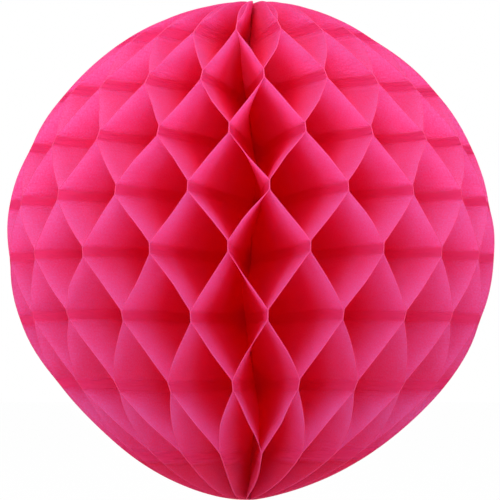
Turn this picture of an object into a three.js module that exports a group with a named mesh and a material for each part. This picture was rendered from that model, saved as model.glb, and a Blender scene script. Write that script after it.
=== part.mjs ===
// A honeycomb paper ball. Half-discs of tissue are bound along their straight edge and
// glued to each other in staggered rows. Opened all the way round the binding, every
// pair of neighbours stretches into a column of six-sided cells that run in to the axis.
// Millimetres, +Z up along the axis, origin on the axis at mid-height.

import * as THREE from 'three';

// The whole ball
const BALL_HEIGHT = 200;
const BALL_DIAMETER = 194.6;
const WIDEST_LEVEL = 4.8;

// The outline above and below the widest level, where 2 and 2 would be an ellipse: it is
// fuller near that level with a higher fullness, and pointed at the pole with a lower bluntness
const UPPER_FULLNESS = 1.83;
const UPPER_BLUNTNESS = 1.83;
const LOWER_FULLNESS = 2.09;
const LOWER_BLUNTNESS = 1.54;

// The tissue sheets, an even number so that the last one glues to the first
const SHEET_COUNT = 42;
const SHEET_THICKNESS = 0.1;
const GLUE_FILM = 0.05;
const SHEET_TIP = 1;

// The glue lines, whose rows open wider below the middle one
const GLUE_WIDTH = 4;
const MIDDLE_ROW = 17.2;
const ROW_PITCH = 21.7;
const ROW_STRETCH = 1.085;
const POLE_MARGIN = 12;
const POLE_SPRING = 0.12;
const FIRST_GLUE_LINE_DEG = -4.77;

// The thread that binds the straight edges
const THREAD_DIAMETER = 1.4;
const THREAD_CLEARANCE = 0.3;
const THREAD_INSET = 0.5;
const THREAD_SIDES = 12;

// Facets: the widest bend of the outline, and the widest turn of a fold, in one step
const OUTLINE_STEP_DEG = 8;
const FOLD_STEPS = 3;

const TOP = BALL_HEIGHT / 2;
const BOTTOM = -BALL_HEIGHT / 2;
const PITCH_ANGLE = (2 * Math.PI) / SHEET_COUNT;
const LAYER = SHEET_THICKNESS + GLUE_FILM;
const CROWDED_RADIUS = LAYER / (2 * Math.sin(PITCH_ANGLE / 2));
const SPINE_RADIUS = Math.max(CROWDED_RADIUS, THREAD_DIAMETER / 2 + THREAD_CLEARANCE);

// How far a height has gone from the widest level towards its pole, as a turn from
// -90 to 90 degrees, and the height of such a turn.
function turnAt(height) {
  const rise = height > WIDEST_LEVEL ? TOP - WIDEST_LEVEL : WIDEST_LEVEL - BOTTOM;
  return Math.asin(THREE.MathUtils.clamp((height - WIDEST_LEVEL) / rise, -1, 1));
}

function heightAt(turn) {
  const rise = turn > 0 ? TOP - WIDEST_LEVEL : WIDEST_LEVEL - BOTTOM;
  return WIDEST_LEVEL + rise * Math.sin(turn);
}

// The cut outline of a sheet: its outer radius at a height, ending in a narrow tip beside
// the binding.
function outlineRadius(height) {
  const above = height > WIDEST_LEVEL;
  const fullness = above ? UPPER_FULLNESS : LOWER_FULLNESS;
  const bluntness = above ? UPPER_BLUNTNESS : LOWER_BLUNTNESS;
  const share = Math.abs(Math.sin(turnAt(height)));
  const tip = SPINE_RADIUS + SHEET_TIP;
  const round = Math.max(1 - share ** fullness, 0) ** (1 / bluntness);
  return tip + (BALL_DIAMETER / 2 - tip) * round;
}

// The rows of glue lines from the bottom up. Each row joins the sheets in the pairs that
// the row below leaves apart, so its side is the other one.
function glueRows() {
  const rows = [];
  let side = 1;
  for (let height = MIDDLE_ROW; height < TOP - POLE_MARGIN; height += ROW_PITCH) {
    rows.push({ height, side });
    side = -side;
  }
  let pitch = ROW_PITCH;
  side = -1;
  for (let height = MIDDLE_ROW - pitch; height > BOTTOM + POLE_MARGIN; height -= pitch) {
    rows.unshift({ height, side });
    pitch *= ROW_STRETCH;
    side = -side;
  }
  return rows;
}

// The creases of a sheet from the bottom up: both edges of every glue line, where the
// sheet lies flat against a neighbour at one side of its own share of the circle. Past
// the outermost lines nothing pulls a pair apart, so it only springs open a little.
function creases() {
  const rows = glueRows();
  const lines = rows.flatMap(({ height, side }) => [
    { height: height - GLUE_WIDTH / 2, side },
    { height: height + GLUE_WIDTH / 2, side },
  ]);
  const sprung = (row) => row.side * (1 - POLE_SPRING);
  return [
    { height: BOTTOM, side: sprung(rows[0]) },
    ...lines,
    { height: TOP, side: sprung(rows.at(-1)) },
  ];
}

// Sections up a sheet, as heights with the side the sheet has swung to there. A fold is
// divided so that it follows both its twist and the round outline.
function foldStations() {
  const edges = creases();
  const stations = [];
  for (let i = 0; i + 1 < edges.length; i++) {
    const [low, high] = [edges[i], edges[i + 1]];
    const [from, to] = [turnAt(low.height), turnAt(high.height)];
    const bend = THREE.MathUtils.radToDeg(to - from);
    const twist = low.side === high.side ? 1 : FOLD_STEPS;
    const steps = Math.max(twist, Math.ceil(bend / OUTLINE_STEP_DEG));
    for (let step = stations.length ? 1 : 0; step <= steps; step++) {
      const turn = THREE.MathUtils.lerp(from, to, step / steps);
      const height = heightAt(turn);
      const share = (height - low.height) / (high.height - low.height);
      stations.push({ height, side: THREE.MathUtils.lerp(low.side, high.side, share) });
    }
  }
  return stations;
}

// The four corners of a sheet's section: a straight line out from the binding, turned
// to the side the sheet has swung to and held off it by half the glue film.
function sheetSection({ height, side }, hand) {
  const swing = side * hand;
  const turn = (swing * PITCH_ANGLE) / 2;
  const centre = (-swing * LAYER) / 2;
  const corner = (radius, face) => {
    const across = centre + (face * SHEET_THICKNESS) / 2;
    return new THREE.Vector3(
      radius * Math.cos(turn) - across * Math.sin(turn),
      radius * Math.sin(turn) + across * Math.cos(turn),
      height,
    );
  };
  const rim = outlineRadius(height);
  return [corner(SPINE_RADIUS, -1), corner(rim, -1), corner(rim, 1), corner(SPINE_RADIUS, 1)];
}

// Skins a stack of four-cornered sections into one closed body. Both faces of a sheet
// are split along the same diagonal, so that a twisted fold keeps its thickness.
function loft(sections) {
  const corners = 4;
  const index = [0, 2, 1, 0, 3, 2];
  for (let level = 0; level + 1 < sections.length; level++) {
    for (let corner = 0; corner < corners; corner++) {
      const a = level * corners + corner;
      const b = level * corners + ((corner + 1) % corners);
      const [aAbove, bAbove] = [a + corners, b + corners];
      const fromSpine = corner < 2;
      if (fromSpine) index.push(a, b, bAbove, a, bAbove, aAbove);
      else index.push(a, b, aAbove, b, bAbove, aAbove);
    }
  }
  const last = (sections.length - 1) * corners;
  index.push(last, last + 1, last + 2, last, last + 2, last + 3);
  const geometry = new THREE.BufferGeometry().setFromPoints(sections.flat());
  geometry.setIndex(index);
  geometry.computeVertexNormals();
  return geometry;
}

// One folded sheet. Odd and even sheets swing opposite ways at the same height.
function foldedSheet(hand) {
  return loft(foldStations().map((station) => sheetSection(station, hand)));
}

// The thread through the spine, with rounded ends just inside the poles.
function bindingThread() {
  const radius = THREAD_DIAMETER / 2;
  const length = BALL_HEIGHT - 2 * THREAD_INSET;
  const thread = new THREE.CapsuleGeometry(radius, length - 2 * radius, 2, THREAD_SIDES);
  return thread.rotateX(Math.PI / 2);
}

const ball = new THREE.Group();

// The first glue line is measured from the front, -Y, and a sheet sits half a pitch on.
const frontToX = -Math.PI / 2;
for (let i = 0; i < SHEET_COUNT; i++) {
  const tissue = new THREE.MeshStandardMaterial({ color: 0xf0468c, roughness: 0.85, metalness: 0 });
  const sheet = new THREE.Mesh(foldedSheet(i % 2 === 0 ? 1 : -1), tissue);
  const glueLine = THREE.MathUtils.degToRad(FIRST_GLUE_LINE_DEG) + i * PITCH_ANGLE;
  sheet.name = `sheet_${String(i + 1).padStart(2, '0')}`;
  sheet.rotation.z = frontToX + glueLine + PITCH_ANGLE / 2;
  ball.add(sheet);
}

const cotton = new THREE.MeshStandardMaterial({ color: 0xe86a9c, roughness: 0.95, metalness: 0 });
const thread = new THREE.Mesh(bindingThread(), cotton);
thread.name = 'binding_thread';
ball.add(thread);

export default ball;
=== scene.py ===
"""Looks of a honeycomb paper ball: tissue half-discs folded round a bound spine."""

import math

import bpy
import numpy as np
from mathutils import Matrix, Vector


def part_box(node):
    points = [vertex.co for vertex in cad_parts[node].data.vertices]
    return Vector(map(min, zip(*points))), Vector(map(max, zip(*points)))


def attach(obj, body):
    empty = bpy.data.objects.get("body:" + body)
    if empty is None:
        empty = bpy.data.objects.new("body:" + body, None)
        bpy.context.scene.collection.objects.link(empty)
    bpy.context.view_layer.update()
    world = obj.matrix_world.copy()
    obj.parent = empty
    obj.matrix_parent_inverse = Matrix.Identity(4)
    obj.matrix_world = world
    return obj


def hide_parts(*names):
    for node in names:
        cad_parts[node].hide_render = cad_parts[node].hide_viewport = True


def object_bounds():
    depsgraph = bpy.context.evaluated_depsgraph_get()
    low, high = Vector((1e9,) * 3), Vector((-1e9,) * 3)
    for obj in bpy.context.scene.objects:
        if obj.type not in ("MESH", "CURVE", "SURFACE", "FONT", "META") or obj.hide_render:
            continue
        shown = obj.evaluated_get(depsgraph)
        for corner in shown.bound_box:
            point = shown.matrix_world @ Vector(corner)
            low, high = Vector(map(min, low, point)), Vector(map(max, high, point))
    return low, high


bl_info = {
    "name": "Honeycomb Paper Ball",
    "version": (1, 0, 0),
    "blender": (4, 5, 0),
    "location": "3D View > Sidebar > Honeycomb",
    "description": "Folds the tissue sheets of a honeycomb ball and sets up its studio",
    "category": "Object",
}

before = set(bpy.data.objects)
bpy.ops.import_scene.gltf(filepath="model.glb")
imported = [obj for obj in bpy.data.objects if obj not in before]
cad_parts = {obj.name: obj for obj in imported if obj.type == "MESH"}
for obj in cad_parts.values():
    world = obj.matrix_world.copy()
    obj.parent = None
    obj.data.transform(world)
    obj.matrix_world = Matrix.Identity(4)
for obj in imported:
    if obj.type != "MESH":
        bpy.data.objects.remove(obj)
CAD_LOW, CAD_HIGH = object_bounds()
CAD_SIZE = CAD_HIGH - CAD_LOW
SHEET_NODES = sorted(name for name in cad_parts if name.startswith("sheet_"))
THREAD_NODE = "binding_thread"
BODY = "root"

# Steps of the meshes: across a sheet, where a power below 1 crowds them at the cut edge, up
# its outline, and round, along and at the ends of a ply of the thread
RADIAL_STEPS = 22
RADIAL_POWER = 0.85
OUTLINE_STEPS = 90
PLY_SIDES = 10
PLY_STEPS_PER_TURN = 8
PLY_END_STEPS = 3

# Rows of points at a crease, and the least distance between rows, in crease roundings. The
# last row stays at the pole, and the one below it gives way only at the same height.
CREASE_ROWS = (-1.0, -0.5, 0.0, 0.5, 1.0)
CLOSEST_ROWS = 0.2
SAME_HEIGHT = 1e-6

# Number of heights whose mean rounds a crease
CREASE_SAMPLES = 7

# Faces that meet at less than these angles are shaded as one
SHEET_SMOOTHING = math.radians(50)
THREAD_SMOOTHING = math.radians(40)

# Seeds of the random draws, and the least share of its spring that a sheet can draw
SWAY_SEED = 4
SPRING_SEED = 7
BULGE_SEED = 100
LEAST_SPRING = 0.1

# As shares of the diameter, the radius where a sheet is free to sway in full, and the radius
# inside which it leans. A lower power brings the strongest lean nearer to the spine.
SWAY_RADIUS = 0.3
LEAN_RADIUS = 0.4
LEAN_POWER = 0.4

# Marks on a flat sheet: the depths below its cut edge between which each one changes, how far
# wrinkles reach from a glue line, the softness of a glue line's edge as a share of its width, and
# how strong the painted shade is where pairs lie pressed together below the lowest glue line. The
# first mark is painted shade: the colour turns deep red deep inside the cells.
SHADE_DEPTHS = (0.006, 0.031)
GLUE_DEPTHS = (0.008, 0.040)
CREASE_DEPTHS = (0.004, 0.040)
CREASE_REACH = 0.005
EDGE_SOFTNESS = 0.1
PRESSED_SHADE = 0.65


class BallShape(bpy.types.PropertyGroup):
    """Sizes of the ball and of the folds in its sheets."""

    height: bpy.props.FloatProperty(
        name="Height", description="From pole to pole", default=CAD_SIZE.z, unit="LENGTH"
    )
    diameter: bpy.props.FloatProperty(
        name="Diameter", description="Across the widest level", default=0.1946, unit="LENGTH"
    )
    widest_level: bpy.props.FloatProperty(
        name="Widest level",
        description="Height of the widest level above the middle",
        default=0.0048,
        unit="LENGTH",
    )
    upper_fullness: bpy.props.FloatProperty(
        name="Upper fullness",
        description="How full the outline is just above the widest level",
        default=1.83,
    )
    upper_bluntness: bpy.props.FloatProperty(
        name="Upper bluntness",
        description="How blunt the outline is at the upper pole",
        default=1.83,
    )
    lower_fullness: bpy.props.FloatProperty(
        name="Lower fullness",
        description="How full the outline is just below the widest level",
        default=2.09,
    )
    lower_bluntness: bpy.props.FloatProperty(
        name="Lower bluntness",
        description="How blunt the outline is at the lower pole",
        default=1.54,
    )
    glue_width: bpy.props.FloatProperty(
        name="Glue width", description="Height of a glue line", default=0.004, unit="LENGTH"
    )
    middle_row: bpy.props.FloatProperty(
        name="Middle row",
        description="Height of the row of glue lines nearest the middle",
        default=0.0172,
        unit="LENGTH",
    )
    row_pitch: bpy.props.FloatProperty(
        name="Row pitch",
        description="Between rows of glue lines above the middle one",
        default=0.0217,
        unit="LENGTH",
    )
    row_stretch: bpy.props.FloatProperty(
        name="Row stretch",
        description="How much wider each row below opens than the one above",
        default=1.085,
    )
    pole_margin: bpy.props.FloatProperty(
        name="Pole margin",
        description="No glue line is nearer to a pole",
        default=0.012,
        unit="LENGTH",
    )
    upper_spring: bpy.props.FloatProperty(
        name="Upper spring",
        description="How far a pair springs apart between the last glue line and the upper pole",
        default=0.7,
    )
    lower_spring: bpy.props.FloatProperty(
        name="Lower spring",
        description="How far a pair springs apart between the last glue line and the lower pole",
        default=0.12,
    )
    front_spring: bpy.props.FloatProperty(
        name="Front spring",
        description="How far the front pair springs apart at the upper pole",
        default=0.6,
    )
    first_glue_line: bpy.props.FloatProperty(
        name="First glue line",
        description="Azimuth of the first glue line from the front",
        default=math.radians(-4.77),
        subtype="ANGLE",
    )
    spine_radius: bpy.props.FloatProperty(
        name="Spine radius",
        description="From the axis to the straight edges",
        default=0.001,
        unit="LENGTH",
    )
    tip_width: bpy.props.FloatProperty(
        name="Tip width", description="Width of a sheet at its pole", default=0.001, unit="LENGTH"
    )
    thread_lay: bpy.props.FloatProperty(
        name="Thread lay",
        description="Length in which the plies of the thread turn once",
        default=0.008,
        unit="LENGTH",
    )
    rim_thickness: bpy.props.FloatProperty(
        name="Rim thickness",
        description="Of a sheet with its fuzzy cut edge",
        default=0.00016,
        unit="LENGTH",
    )
    spine_thickness: bpy.props.FloatProperty(
        name="Spine thickness",
        description="Of a sheet pressed flat at the binding",
        default=0.00008,
        unit="LENGTH",
    )
    glue_film: bpy.props.FloatProperty(
        name="Glue film", description="Between two glued sheets", default=0.00004, unit="LENGTH"
    )
    crease_round: bpy.props.FloatProperty(
        name="Crease rounding",
        description="Height over which a fold turns",
        default=0.0009,
        unit="LENGTH",
    )
    sway: bpy.props.FloatProperty(
        name="Sway",
        description="How far the cells stray from an even pattern",
        default=0.0003,
        unit="LENGTH",
    )
    buckle: bpy.props.FloatProperty(
        name="Buckle",
        description="How much a free fold bulges, as a share of its room",
        default=0.1,
    )
    bow: bpy.props.FloatProperty(
        name="Bow",
        description="How far the sheets lean sideways near the spine",
        default=0.0035,
        unit="LENGTH",
    )
    bow_length: bpy.props.FloatProperty(
        name="Bow length",
        description="Height of one lean to each side",
        default=0.09,
        unit="LENGTH",
    )
    bow_level: bpy.props.FloatProperty(
        name="Bow level",
        description="Height at which the sheets don't lean",
        default=0.0025,
        unit="LENGTH",
    )


class TissueLook(bpy.types.PropertyGroup):
    """Colours of the tissue, with the deep red of its painted shade, and of the thread."""

    tissue: bpy.props.FloatVectorProperty(
        name="Tissue",
        description="Dyed tissue near its cut edge",
        subtype="COLOR",
        size=3,
        default=(1.0, 0.22, 0.58),
    )
    # Painted shade: the deep red that the tissue colour turns to deep inside the cells and below
    # the lowest glue line, standing in for the shade there
    inner: bpy.props.FloatVectorProperty(
        name="Inner tissue",
        description="Dyed tissue that light hasn't faded",
        subtype="COLOR",
        size=3,
        default=(1.0, 0.03, 0.15),
    )
    shine_through: bpy.props.FloatVectorProperty(
        name="Shine through",
        description="Light that passes the tissue between its fibres",
        subtype="COLOR",
        size=3,
        default=(0.99, 0.49, 0.83),
    )
    shine_dense: bpy.props.FloatVectorProperty(
        name="Shine through fibres",
        description="Light that passes the tissue where fibres lie dense",
        subtype="COLOR",
        size=3,
        default=(0.99, 0.22, 0.52),
    )
    shine_glued: bpy.props.FloatVectorProperty(
        name="Shine through glue",
        description="Light that passes the tissue where glue has soaked it clear",
        subtype="COLOR",
        size=3,
        default=(1.0, 0.52, 0.73),
    )
    cut_edge: bpy.props.FloatVectorProperty(
        name="Cut edge",
        description="Fuzzy cut edge",
        subtype="COLOR",
        size=3,
        default=(0.95, 0.065, 0.25),
    )
    thread: bpy.props.FloatVectorProperty(
        name="Thread",
        description="Binding thread",
        subtype="COLOR",
        size=3,
        default=(1.0, 0.15, 0.33),
    )
    backdrop: bpy.props.FloatVectorProperty(
        name="Backdrop",
        description="Background as it is seen",
        subtype="COLOR",
        size=3,
        default=(1.0, 1.0, 1.0),
    )
    floor: bpy.props.FloatVectorProperty(
        name="Floor",
        description="Pale floor, which throws light back up",
        subtype="COLOR",
        size=3,
        default=(0.65, 0.65, 0.65),
    )


class StudioSetup(bpy.types.PropertyGroup):
    """Camera, floor and lamps."""

    camera_distance: bpy.props.FloatProperty(
        name="Camera distance", description="From the ball's centre", default=0.741, unit="LENGTH"
    )
    camera_elevation: bpy.props.FloatProperty(
        name="Camera elevation",
        description="Above the ball's middle",
        default=math.radians(-3.32),
        subtype="ANGLE",
    )
    view_width: bpy.props.FloatProperty(
        name="View width",
        description="Width of the view at the ball's centre",
        default=0.2016,
        unit="LENGTH",
    )
    view_shift: bpy.props.FloatProperty(
        name="View shift", description="Sideways shift of the view", default=-0.0016
    )
    floor_drop: bpy.props.FloatProperty(
        name="Floor drop",
        description="From the lower pole to the floor",
        default=0.06,
        unit="LENGTH",
    )
    ambient: bpy.props.FloatProperty(
        name="Ambient", description="Strength of the soft light from all round", default=0.53
    )
    key_power: bpy.props.FloatProperty(
        name="Key power", description="Of the large lamp above the ball", default=9.5, unit="POWER"
    )
    key_size: bpy.props.FloatProperty(
        name="Key size",
        description="Width of the large lamp above the ball",
        default=1.4,
        unit="LENGTH",
    )
    key_place: bpy.props.FloatVectorProperty(
        name="Key place",
        description="Of the large lamp above the ball",
        default=(0.1, 0.05, 1.2),
        unit="LENGTH",
    )
    fill_power: bpy.props.FloatProperty(
        name="Fill power", description="Of the lamp near the camera", default=9.3, unit="POWER"
    )
    fill_size: bpy.props.FloatProperty(
        name="Fill size",
        description="Width of the lamp near the camera",
        default=1.0,
        unit="LENGTH",
    )
    fill_place: bpy.props.FloatVectorProperty(
        name="Fill place",
        description="Of the lamp near the camera",
        default=(-0.1, -1.0, 0.95),
        unit="LENGTH",
    )
    right_power: bpy.props.FloatProperty(
        name="Right power", description="Of the lamp at the right", default=2.0, unit="POWER"
    )
    left_power: bpy.props.FloatProperty(
        name="Left power", description="Of the lamp at the left", default=4.5, unit="POWER"
    )
    side_size: bpy.props.FloatProperty(
        name="Side size",
        description="Width of each of the two lamps at the sides",
        default=0.9,
        unit="LENGTH",
    )
    side_place: bpy.props.FloatVectorProperty(
        name="Side place",
        description="Of the lamp at the right",
        default=(1.0, 0.7, 0.7),
        unit="LENGTH",
    )
    light_bounces: bpy.props.IntProperty(
        name="Light bounces",
        description="How often light is passed on inside the cells",
        default=32,
    )
    even_bounces: bpy.props.IntProperty(
        name="Even bounces",
        description="How often light is reflected before it counts as even",
        default=4,
    )
    deep_light: bpy.props.FloatProperty(
        name="Deep light",
        description="Even light deep inside the cells, as a share of the ambient",
        default=1.6,
    )


# Shader maths


class Value:
    """A socket in Python arithmetic: each operation adds a Math node."""

    def __init__(self, shader, socket):
        self.shader = shader
        self.socket = socket

    def math(self, operation, *others):
        inputs = dict(enumerate((self, *others)))
        return self.shader.add("ShaderNodeMath", {"operation": operation}, inputs)["Value"]

    def __add__(self, other):
        return self.math("ADD", other)

    def __mul__(self, other):
        return self.math("MULTIPLY", other)

    def __sub__(self, other):
        return self.math("SUBTRACT", other)

    def __rsub__(self, other):
        return self.math("MULTIPLY_ADD", -1.0, other)

    __radd__ = __add__
    __rmul__ = __mul__


class Node:
    """A shader node whose outputs are read by name or by place."""

    def __init__(self, shader, node):
        self.shader = shader
        self.node = node

    def __getitem__(self, output):
        return Value(self.shader, self.node.outputs[output])


class Shader:
    """The node tree of one material or of the world."""

    # Places of a Mix node's colour sockets, whose names it also uses for numbers and vectors
    MIX_FACTOR = 0
    MIX_FIRST = 6
    MIX_SECOND = 7
    MIX_RESULT = 2

    def __init__(self, owner):
        owner.use_nodes = True
        self.tree = owner.node_tree
        self.tree.nodes.clear()

    def add(self, kind, settings=None, inputs=None):
        """Adds a node, makes its settings, then fills its inputs with values or links."""
        node = self.tree.nodes.new(kind)
        for name, value in (settings or {}).items():
            setattr(node, name, value)
        for name, value in (inputs or {}).items():
            if isinstance(value, Value):
                self.tree.links.new(value.socket, node.inputs[name])
            else:
                node.inputs[name].default_value = value
        return Node(self, node)

    def blend_colours(self, factor, first, second):
        """Mixes two colours, each a value or a link."""
        inputs = {self.MIX_FACTOR: factor, self.MIX_FIRST: first, self.MIX_SECOND: second}
        return self.add("ShaderNodeMix", {"data_type": "RGBA"}, inputs)[self.MIX_RESULT]

    def blend(self, factor, first, second):
        """Mixes two shaders."""
        inputs = {"Fac": factor, 1: first, 2: second}
        return self.add("ShaderNodeMixShader", {}, inputs)["Shader"]

    def noise(self, vector, scale, detail=2.0):
        inputs = {"Vector": vector, "Scale": scale, "Detail": detail}
        return self.add("ShaderNodeTexNoise", {}, inputs)["Fac"]

    def bump(self, relief, strength, height):
        inputs = {"Strength": strength, "Distance": height, "Height": relief}
        return self.add("ShaderNodeBump", {}, inputs)["Normal"]


def rgba(colour):
    """A colour property as a socket's four numbers."""
    return (*colour, 1.0)


def dyed(colour, clear):
    """A colour with more or less of its dye, which holds back green and blue but not red."""
    return (colour[0], colour[1] * clear, colour[2] * clear, 1.0)


def new_material(name):
    material = bpy.data.materials.new(name)
    return material, Shader(material)


# Patterns in the tissue, in repeats per metre: clouds, fibres, and streaks along the glue lines
CLOUD_SCALE = 55.0
FIBRE_SCALE = 1500.0
FIBRE_DETAIL = 4.0
STREAK_SCALE = (60.0, 700.0, 1.0)
STREAK_DETAIL = 3.0

# Parts of clouds and fibres in the mottling, how clear the dye is at its two ends, and how
# sharply light parts between dense fibres and thin places
CLOUD_PART = 0.3
FIBRE_PART = 0.7
DENSE_CLEAR = 0.55
THIN_CLEAR = 1.45
GRAIN_CONTRAST = 3.0
GRAIN_START = 1.0

# Relief of the paper: fibres, streaks, and streaks at a crease
FIBRE_RELIEF = 0.2
STREAK_RELIEF = 0.1
CREASE_RELIEF = 1.0
RELIEF_STRENGTH = 0.7
RELIEF_HEIGHT = 0.0009

# Matt finish of the paper
PAPER_ROUGHNESS = 0.8
PAPER_SPECULAR = 0.25

# Part of the light that passes the tissue: when dry, more with glue, and less deep inside, where
# more of the painted shade in the surface colour shows, and how evenly the glue has soaked in
DRY_SHINE = 0.78
GLUE_SHINE = 0.21
DEEP_LOSS = 0.3
EVEN_SOAK = 0.6
STREAKY_SOAK = 0.6

# Loose fibres at a cut edge and on the thread: in repeats per metre, with their relief and
# the colour that they let through where they lie dense and where they lie thin
EDGE_FIBRES = {"scale": 1400.0, "relief": 0.3, "dense": 0.9, "thin": 1.05}
THREAD_FIBRES = {"scale": 2500.0, "relief": 0.5, "dense": 0.75, "thin": 1.1}
LOOSE_DETAIL = 3.0
LOOSE_HEIGHT = 0.0001
LOOSE_ROUGHNESS = 0.95


def tissue_material(look):
    """Dyed tissue: light shines through it, and most where glue has soaked it clear. Deep in the
    cells and below the lowest glue line, shade is painted into its colour.
    """
    material, shader = new_material("tissue")
    paper = shader.add("ShaderNodeUVMap", {"uv_map": "paper"})["UV"]
    glue = shader.add("ShaderNodeAttribute", {"attribute_name": "glue"})["Fac"]
    crease = shader.add("ShaderNodeAttribute", {"attribute_name": "crease"})["Fac"]
    depth = shader.add("ShaderNodeAttribute", {"attribute_name": "depth"})["Fac"]
    cloud = shader.noise(paper, CLOUD_SCALE)
    fibre = shader.noise(paper, FIBRE_SCALE, FIBRE_DETAIL)
    along = shader.add("ShaderNodeMapping", {}, {"Vector": paper, "Scale": STREAK_SCALE})["Vector"]
    streak = shader.noise(along, 1.0, STREAK_DETAIL)
    mottle = cloud * CLOUD_PART + fibre * FIBRE_PART
    dense_colour, thin_colour = dyed(look.tissue, DENSE_CLEAR), dyed(look.tissue, THIN_CLEAR)
    # The tissue's own colour, mottled by clouds and fibres, as it shows near the cut edge. The next
    # blend paints shade: the colour turns deep red deep inside the cells and below the lowest glue
    # line
    faded = shader.blend_colours(mottle, dense_colour, thin_colour)
    colour = shader.blend_colours(depth, faded, rgba(look.inner))
    relief = fibre * FIBRE_RELIEF + streak * (STREAK_RELIEF + CREASE_RELIEF * crease)
    bump = shader.bump(relief, RELIEF_STRENGTH, RELIEF_HEIGHT)
    surface = shader.add(
        "ShaderNodeBsdfPrincipled",
        {},
        {
            "Base Color": colour,
            "Roughness": PAPER_ROUGHNESS,
            "Specular IOR Level": PAPER_SPECULAR,
            "Normal": bump,
        },
    )["BSDF"]
    thin, dense, clear = (
        shader.add("ShaderNodeBsdfTranslucent", {}, {"Color": rgba(shine), "Normal": bump})["BSDF"]
        for shine in (look.shine_through, look.shine_dense, look.shine_glued)
    )
    dry = shader.blend(GRAIN_CONTRAST * mottle - GRAIN_START, dense, thin)
    soaked = glue * (EVEN_SOAK + STREAKY_SOAK * streak)
    through = shader.blend(soaked, dry, clear)
    share = DRY_SHINE + GLUE_SHINE * soaked - DEEP_LOSS * depth
    shader.add("ShaderNodeOutputMaterial", {}, {"Surface": shader.blend(share, surface, through)})
    return material


def fibre_material(name, tint, fibres):
    """Loose fibres that scatter light, as at a cut edge or on cotton."""
    material, shader = new_material(name)
    place = shader.add("ShaderNodeTexCoord")["Object"]
    fibre = shader.noise(place, fibres["scale"], LOOSE_DETAIL)
    colour = shader.blend_colours(fibre, dyed(tint, fibres["dense"]), dyed(tint, fibres["thin"]))
    surface = shader.add(
        "ShaderNodeBsdfPrincipled",
        {},
        {
            "Base Color": colour,
            "Roughness": LOOSE_ROUGHNESS,
            "Normal": shader.bump(fibre, fibres["relief"], LOOSE_HEIGHT),
        },
    )["BSDF"]
    shader.add("ShaderNodeOutputMaterial", {}, {"Surface": surface})
    return material


# The folds of a sheet


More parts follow.
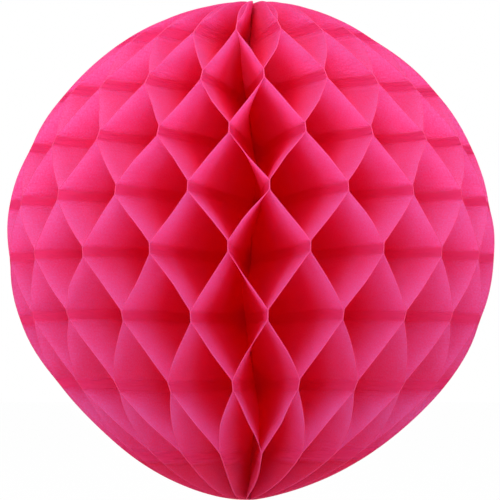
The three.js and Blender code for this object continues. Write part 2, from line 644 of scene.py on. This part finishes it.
class Folds:
    """Where a sheet is creased, how far it swings and how wide it is, by height."""

    def __init__(self, ball):
        self.ball = ball
        self.top = ball.height / 2
        self.bottom = -ball.height / 2
        self.rows = self.glue_rows()
        self.heights, self.sides = self.creases()

    def glue_rows(self):
        """Heights of the rows of glue lines from the bottom up, with the side each pulls to."""
        ball = self.ball
        rows = []
        height, side = ball.middle_row, 1
        while height < self.top - ball.pole_margin:
            rows.append((height, side))
            height, side = height + ball.row_pitch, -side
        pitch = ball.row_pitch
        height, side = ball.middle_row - pitch, -1
        while height > self.bottom + ball.pole_margin:
            rows.insert(0, (height, side))
            pitch *= ball.row_stretch
            height, side = height - pitch, -side
        return rows

    def creases(self):
        """Both edges of every glue line, and the poles."""
        half = self.ball.glue_width / 2
        points = [(self.bottom, self.rows[0][1])]
        for height, side in self.rows:
            points += [(height - half, side), (height + half, side)]
        points.append((self.top, self.rows[-1][1]))
        return np.array(points).T

    def side_at(self, height, springs):
        """How far a sheet has swung, from -1 to 1. Creases are rounded, and its two ends sprung."""
        below, above = springs
        lowest, highest = self.heights[1], self.heights[-2]
        offsets = np.linspace(-0.5, 0.5, CREASE_SAMPLES) * self.ball.crease_round
        sides = [np.interp(height + offset, self.heights, self.sides) for offset in offsets]
        side = np.mean(sides, axis=0)
        past_top = np.clip((height - highest) / (self.top - highest), 0, 1)
        past_bottom = np.clip((lowest - height) / (lowest - self.bottom), 0, 1)
        sprung = below * np.sin(math.pi * past_bottom) + above * np.sin(math.pi * past_top)
        return side * (1 - sprung)

    def lean_at(self, radius, height):
        """How far the sheets lean sideways: most just outside the spine, and not at the rim."""
        ball = self.ball
        turn = 2 * math.pi * (height - ball.bow_level) / ball.bow_length
        outward = np.clip((radius - ball.spine_radius) / (LEAN_RADIUS * ball.diameter), 0, 1)
        reach = np.sin(math.pi * outward**LEAN_POWER) ** 2
        return ball.bow * np.sin(turn) * reach

    def past_glue(self, height):
        """Distance from the edge of the nearest glue line, less than 0 on it."""
        gaps = [np.abs(height - row) for row, _ in self.rows]
        return np.min(gaps, axis=0) - self.ball.glue_width / 2

    def glue_at(self, height):
        """1 on a glue line, 0 off it."""
        return np.clip(-self.past_glue(height) / (EDGE_SOFTNESS * self.ball.glue_width / 2), 0, 1)

    def pressed_at(self, height):
        """1 below the lowest glue line, where pairs lie pressed together and shade is painted, and
        0 above it.
        """
        past = self.heights[1] - height
        return np.clip(past / (EDGE_SOFTNESS * self.ball.glue_width), 0, 1)

    def crease_at(self, height):
        """1 on a glue line, falling to 0 beside it."""
        return np.clip(1 - self.past_glue(height) / CREASE_REACH, 0, 1)

    def depth_at(self, radius, height, depths):
        """0 from the cut edge to the first depth, then rising to 1 at the second."""
        start, end = depths
        share = np.clip((self.rim_at(height) - radius - start) / (end - start), 0, 1)
        return share * share * (3 - 2 * share)

    def rise_at(self, height):
        """Distance of the pole that a height heads for from the widest level."""
        level = self.ball.widest_level
        return np.where(height > level, self.top - level, level - self.bottom)

    def rim_at(self, height):
        """The outer radius of a sheet's cut outline."""
        ball = self.ball
        above = height > ball.widest_level
        fullness = np.where(above, ball.upper_fullness, ball.lower_fullness)
        bluntness = np.where(above, ball.upper_bluntness, ball.lower_bluntness)
        share = np.abs(height - ball.widest_level) / self.rise_at(height)
        tip = ball.spine_radius + ball.tip_width
        round_part = np.clip(1 - share**fullness, 0, 1) ** (1 / bluntness)
        return tip + (ball.diameter / 2 - tip) * round_part

    def stations(self):
        """Heights of the rows of points: even round the outline, and close at the creases."""
        level = self.ball.widest_level
        turns = np.linspace(-math.pi / 2, math.pi / 2, OUTLINE_STEPS + 1)
        rise = np.where(turns > 0, self.top - level, level - self.bottom)
        near = self.ball.crease_round * np.array(CREASE_ROWS)
        at_creases = (self.heights[1:-1, None] + near).ravel()
        heights = np.sort(np.concatenate([level + rise * np.sin(turns), at_creases]))
        spread = np.concatenate([[True], np.diff(heights) > CLOSEST_ROWS * self.ball.crease_round])
        spread[-2:] = [heights[-1] - heights[-2] > SAME_HEIGHT, True]
        return heights[spread]


class Sway:
    """A smooth field of small shifts. Sheets that share a field stay together."""

    WAVES = 14
    LONGEST = 0.11
    SHORTEST = 0.045

    def __init__(self, size, seed):
        draw = np.random.default_rng(seed)
        lengths = draw.uniform(self.SHORTEST, self.LONGEST, self.WAVES)
        directions = draw.normal(size=(self.WAVES, 3))
        directions /= np.linalg.norm(directions, axis=1, keepdims=True)
        self.waves = directions * (2 * math.pi / lengths)[:, None]
        self.phases = draw.uniform(0, 2 * math.pi, self.WAVES)
        self.shifts = draw.normal(size=(self.WAVES, 3)) * size * math.sqrt(2 / self.WAVES)

    def at(self, points):
        return np.sin(points @ self.waves.T + self.phases) @ self.shifts


def deselect_all():
    for obj in bpy.context.selected_objects:
        obj.select_set(False)


def points_of(mesh):
    points = np.empty(len(mesh.vertices) * 3)
    mesh.vertices.foreach_get("co", points)
    return points.reshape(-1, 3)


def put_points(mesh, points):
    mesh.vertices.foreach_set("co", np.ascontiguousarray(points, dtype=np.float32).ravel())
    mesh.update()


def flat_sheet(folds):
    """A flat grid cut to the half-disc's outline, with its glue lines marked."""
    stations = folds.stations()
    deselect_all()
    rows = len(stations) - 1
    bpy.ops.mesh.primitive_grid_add(x_subdivisions=RADIAL_STEPS, y_subdivisions=rows, size=1)
    sheet = bpy.context.object
    mesh = sheet.data
    grid = points_of(mesh) + 0.5
    heights = stations[np.rint(grid[:, 1] * rows).astype(int)]
    spine = folds.ball.spine_radius
    radii = spine + (folds.rim_at(heights) - spine) * grid[:, 0] ** RADIAL_POWER
    put_points(mesh, np.column_stack([radii, np.zeros_like(radii), heights]))
    unglued = folds.depth_at(radii, heights, GLUE_DEPTHS)
    smooth = folds.depth_at(radii, heights, CREASE_DEPTHS)
    # Painted shade: where the colour turns deep red, deep inside the cells
    deep = folds.depth_at(radii, heights, SHADE_DEPTHS)
    marks = {
        "glue": folds.glue_at(heights) * (1 - unglued),
        "crease": folds.crease_at(heights) * (1 - smooth),
        # Painted shade also below the lowest glue line: the colour turns part way to the deep red
        # there
        "depth": np.maximum(deep, PRESSED_SHADE * folds.pressed_at(heights)),
    }
    for name, values in marks.items():
        attribute = mesh.attributes.new(name, "FLOAT", "POINT")
        attribute.data.foreach_set("value", values.astype(np.float32))
    paper = mesh.uv_layers[0]
    paper.name = "paper"
    corners = np.empty(len(mesh.loops), dtype=int)
    mesh.loops.foreach_get("vertex_index", corners)
    flat = np.column_stack([radii, heights])[corners]
    paper.data.foreach_set("uv", flat.astype(np.float32).ravel())
    rim = sheet.vertex_groups.new(name="rim")
    widest = folds.ball.diameter / 2
    for index, radius in enumerate(radii):
        rim.add([index], min(radius / widest, 1.0), "REPLACE")
    return sheet


def fold(folds, points, hand, azimuth, bulge, springs):
    """Swings a flat sheet's points to their sides, and turns the sheet to its place."""
    ball = folds.ball
    radii, heights = points[:, 0], points[:, 2]
    half_pitch = math.pi / len(SHEET_NODES)
    swing = hand * folds.side_at(heights, springs)
    room = radii * half_pitch * (1 - np.abs(swing))
    thickening = (ball.rim_thickness - ball.spine_thickness) / (ball.diameter / 2)
    thickness = ball.spine_thickness + thickening * radii
    across = -swing * (thickness + ball.glue_film) / 2 + room * bulge
    turns = azimuth + swing * half_pitch
    return np.column_stack(
        [
            radii * np.cos(turns) - across * np.sin(turns) + folds.lean_at(radii, heights),
            radii * np.sin(turns) + across * np.cos(turns),
            heights,
        ]
    )


def apply_modifiers(obj):
    deselect_all()
    obj.select_set(True)
    bpy.context.view_layer.objects.active = obj
    for modifier in list(obj.modifiers):
        bpy.ops.object.modifier_apply(modifier=modifier.name)


class HONEYCOMB_OT_fold_sheets(bpy.types.Operator):
    """Cuts, folds and opens the tissue sheets"""

    bl_idname = "honeycomb.fold_sheets"
    bl_label = "Fold sheets"

    def execute(self, context):
        ball = context.scene.honeycomb_ball
        look = context.scene.honeycomb_look
        folds = Folds(ball)
        master = flat_sheet(folds)
        flat = points_of(master.data)
        master.data.materials.append(tissue_material(look))
        master.data.materials.append(fibre_material("cut_edge", look.cut_edge, EDGE_FIBRES))
        sway = Sway(ball.sway, SWAY_SEED)
        pitch = 2 * math.pi / len(SHEET_NODES)
        draw = np.random.default_rng(SPRING_SEED)
        springs = draw.uniform(LEAST_SPRING, 1.0, (len(SHEET_NODES), 2))
        springs *= [ball.lower_spring, ball.upper_spring]
        springs[0] = [0, ball.front_spring]
        freedom = np.clip(flat[:, 0] / (SWAY_RADIUS * ball.diameter), 0, 1)[:, None]
        for number, node in enumerate(SHEET_NODES):
            sheet = master.copy()
            sheet.data = master.data.copy()
            sheet.name = node.replace("sheet", "tissue")
            context.collection.objects.link(sheet)
            azimuth = -math.pi / 2 + ball.first_glue_line + (number + 0.5) * pitch
            hand = 1 if number % 2 == 0 else -1
            bulge = ball.buckle * Sway(1.0, BULGE_SEED + number).at(flat)[:, 0]
            points = fold(folds, flat, hand, azimuth, bulge, springs[number])
            put_points(sheet.data, points + sway.at(points) * freedom)
            self.finish(sheet, node, ball)
        bpy.data.objects.remove(master)
        return {"FINISHED"}

    def finish(self, sheet, node, ball):
        """Gives a folded sheet its thickness, smooths it, ties it to the body and hides the part
        that it replaces.
        """
        wall = sheet.modifiers.new("thickness", "SOLIDIFY")
        wall.thickness = ball.rim_thickness
        wall.offset = 0
        wall.vertex_group = "rim"
        wall.thickness_vertex_group = ball.spine_thickness / ball.rim_thickness
        wall.material_offset_rim = 1
        apply_modifiers(sheet)
        bpy.ops.object.shade_smooth_by_angle(angle=SHEET_SMOOTHING)
        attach(sheet, BODY)
        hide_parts(node)


class HONEYCOMB_OT_bind_thread(bpy.types.Operator):
    """Makes the twisted thread that binds the straight edges"""

    bl_idname = "honeycomb.bind_thread"
    bl_label = "Bind thread"

    def execute(self, context):
        low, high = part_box(THREAD_NODE)
        length = high.z - low.z
        radius = (high.x - low.x) / 2
        ball = context.scene.honeycomb_ball
        plies = [self.ply(side * radius / 2, radius / 2, length, ball) for side in (-1, 1)]
        deselect_all()
        for ply in plies:
            ply.select_set(True)
        context.view_layer.objects.active = plies[0]
        bpy.ops.object.join()
        thread = bpy.context.object
        thread.name = "twisted_thread"
        look = context.scene.honeycomb_look
        thread.data.materials.append(fibre_material("thread", look.thread, THREAD_FIBRES))
        bpy.ops.object.transform_apply(location=True, rotation=True, scale=True)
        twist = thread.modifiers.new("twist", "SIMPLE_DEFORM")
        twist.deform_method = "TWIST"
        twist.deform_axis = "Z"
        twist.angle = 2 * math.pi * length / ball.thread_lay
        apply_modifiers(thread)
        bpy.ops.object.shade_smooth_by_angle(angle=THREAD_SMOOTHING)
        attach(thread, BODY)
        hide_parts(THREAD_NODE)
        return {"FINISHED"}

    def ply(self, offset, radius, length, ball):
        """One straight ply with rounded ends, divided along its length for the twist."""
        deselect_all()
        bpy.ops.mesh.primitive_cylinder_add(
            vertices=PLY_SIDES, radius=radius, depth=length, location=(offset, 0, 0)
        )
        ply = bpy.context.object
        cuts = round(PLY_STEPS_PER_TURN * length / ball.thread_lay)
        self.pick_edges(ply, lambda first, second: abs(first - second) > length / 2)
        bpy.ops.mesh.subdivide(number_cuts=cuts)
        middle = length / 2 - radius / 2
        self.pick_edges(ply, lambda first, second: min(abs(first), abs(second)) > middle)
        bpy.ops.mesh.bevel(
            offset=radius / 2, segments=PLY_END_STEPS, affect="EDGES", clamp_overlap=True
        )
        bpy.ops.object.mode_set(mode="OBJECT")
        return ply

    def pick_edges(self, obj, wanted):
        """Goes to Edit Mode with those edges selected whose two ends have the wanted heights."""
        bpy.ops.object.mode_set(mode="EDIT")
        bpy.ops.mesh.select_mode(type="EDGE")
        bpy.ops.mesh.select_all(action="DESELECT")
        bpy.ops.object.mode_set(mode="OBJECT")
        for edge in obj.data.edges:
            edge.select = wanted(*(obj.data.vertices[index].co.z for index in edge.vertices))
        bpy.ops.object.mode_set(mode="EDIT")


# The floor is nearly as bright as the background where it is seen, and keeps a faint shadow
FLOOR_WIDTH = 8
FLOOR_BRIGHT = 0.985

# Even light deep in the cells is held back by what lies nearer than this
EVEN_LIGHT_REACH = 0.0005


class HONEYCOMB_OT_set_stage(bpy.types.Operator):
    """Sets the camera, the floor, the background and the lamps"""

    bl_idname = "honeycomb.set_stage"
    bl_label = "Set stage"

    def execute(self, context):
        studio = context.scene.honeycomb_studio
        look = context.scene.honeycomb_look
        context.scene.view_settings.view_transform = "Standard"
        self.camera(context, studio)
        self.floor(studio, look)
        self.background(context, studio, look)
        self.lamp(context, "key", studio.key_power, studio.key_size, studio.key_place)
        self.lamp(context, "fill", studio.fill_power, studio.fill_size, studio.fill_place)
        right = Vector(studio.side_place)
        left = right * Vector((-1, 1, 1))
        self.lamp(context, "right", studio.right_power, studio.side_size, right)
        self.lamp(context, "left", studio.left_power, studio.side_size, left)
        self.deep_light(context.scene, studio)
        return {"FINISHED"}

    def camera(self, context, studio):
        data = bpy.data.cameras.new("camera")
        data.lens = data.sensor_width * studio.camera_distance / studio.view_width
        data.shift_x = studio.view_shift
        camera = bpy.data.objects.new("camera", data)
        context.collection.objects.link(camera)
        back = Vector((0, -math.cos(studio.camera_elevation), math.sin(studio.camera_elevation)))
        camera.location = back * studio.camera_distance
        camera.rotation_euler = back.to_track_quat("Z", "Y").to_euler()
        context.scene.camera = camera

    def floor(self, studio, look):
        deselect_all()
        level = CAD_LOW.z - studio.floor_drop
        bpy.ops.mesh.primitive_plane_add(size=FLOOR_WIDTH, location=(0, 0, level))
        floor = bpy.context.object
        floor.name = "floor"
        material, shader = new_material("floor")
        matt = shader.add("ShaderNodeBsdfDiffuse", {}, {"Color": rgba(look.floor)})["BSDF"]
        bright = shader.add("ShaderNodeEmission", {}, {"Color": rgba(look.backdrop)})["Emission"]
        mixed = shader.blend(FLOOR_BRIGHT * self.seen(shader), matt, bright)
        shader.add("ShaderNodeOutputMaterial", {}, {"Surface": mixed})
        floor.data.materials.append(material)

    def background(self, context, studio, look):
        world = bpy.data.worlds.new("studio")
        context.scene.world = world
        shader = Shader(world)
        backdrop = rgba(look.backdrop)
        soft, white = (
            shader.add("ShaderNodeBackground", {}, {"Color": backdrop, "Strength": strength})
            for strength in (studio.ambient, 1.0)
        )
        mixed = shader.blend(self.seen(shader), soft["Background"], white["Background"])
        shader.add("ShaderNodeOutputWorld", {}, {"Surface": mixed})

    def deep_light(self, scene, studio):
        """Follows light some way into the cells, and takes what is left there as even."""
        cycles = scene.cycles
        cycles.max_bounces = studio.light_bounces
        cycles.diffuse_bounces = studio.light_bounces
        cycles.transmission_bounces = studio.light_bounces
        cycles.use_fast_gi = True
        cycles.fast_gi_method = "REPLACE"
        cycles.ao_bounces_render = studio.even_bounces
        scene.world.light_settings.distance = EVEN_LIGHT_REACH
        scene.world.light_settings.ao_factor = studio.deep_light

    def seen(self, shader):
        """1 for rays that show the backdrop. Those through tissue carry light, and stay out."""
        path = shader.add("ShaderNodeLightPath")
        return path["Is Camera Ray"].math("MAXIMUM", path["Is Glossy Ray"])

    def lamp(self, context, name, power, size, place):
        """A round soft lamp that faces the ball's centre."""
        data = bpy.data.lights.new(name, "AREA")
        data.energy = power
        data.shape = "DISK"
        data.size = size
        lamp = bpy.data.objects.new(name, data)
        context.collection.objects.link(lamp)
        lamp.location = place
        lamp.rotation_euler = Vector(place).to_track_quat("Z", "Y").to_euler()


class HONEYCOMB_PT_ball(bpy.types.Panel):
    """Lists the ball's sizes, colours and steps"""

    bl_idname = "HONEYCOMB_PT_ball"
    bl_label = "Honeycomb Ball"
    bl_space_type = "VIEW_3D"
    bl_region_type = "UI"
    bl_category = "Honeycomb"

    def draw(self, context):
        for name, kind in GROUPS.items():
            box = self.layout.box()
            for setting in kind.__annotations__:
                box.prop(getattr(context.scene, name), setting)
        for operator in OPERATORS:
            self.layout.operator(operator.bl_idname)


OPERATORS = (HONEYCOMB_OT_fold_sheets, HONEYCOMB_OT_bind_thread, HONEYCOMB_OT_set_stage)
GROUPS = {
    "honeycomb_ball": BallShape,
    "honeycomb_look": TissueLook,
    "honeycomb_studio": StudioSetup,
}


def register():
    for group in GROUPS.values():
        bpy.utils.register_class(group)
    for name, group in GROUPS.items():
        setattr(bpy.types.Scene, name, bpy.props.PointerProperty(type=group))
    for operator in OPERATORS:
        bpy.utils.register_class(operator)
    bpy.utils.register_class(HONEYCOMB_PT_ball)


def unregister():
    bpy.utils.unregister_class(HONEYCOMB_PT_ball)
    for operator in reversed(OPERATORS):
        bpy.utils.unregister_class(operator)
    for name, group in GROUPS.items():
        delattr(bpy.types.Scene, name)
        bpy.utils.unregister_class(group)


def main():
    register()
    bpy.ops.honeycomb.set_stage()
    bpy.ops.honeycomb.fold_sheets()
    bpy.ops.honeycomb.bind_thread()


if __name__ == "__main__":
    main()
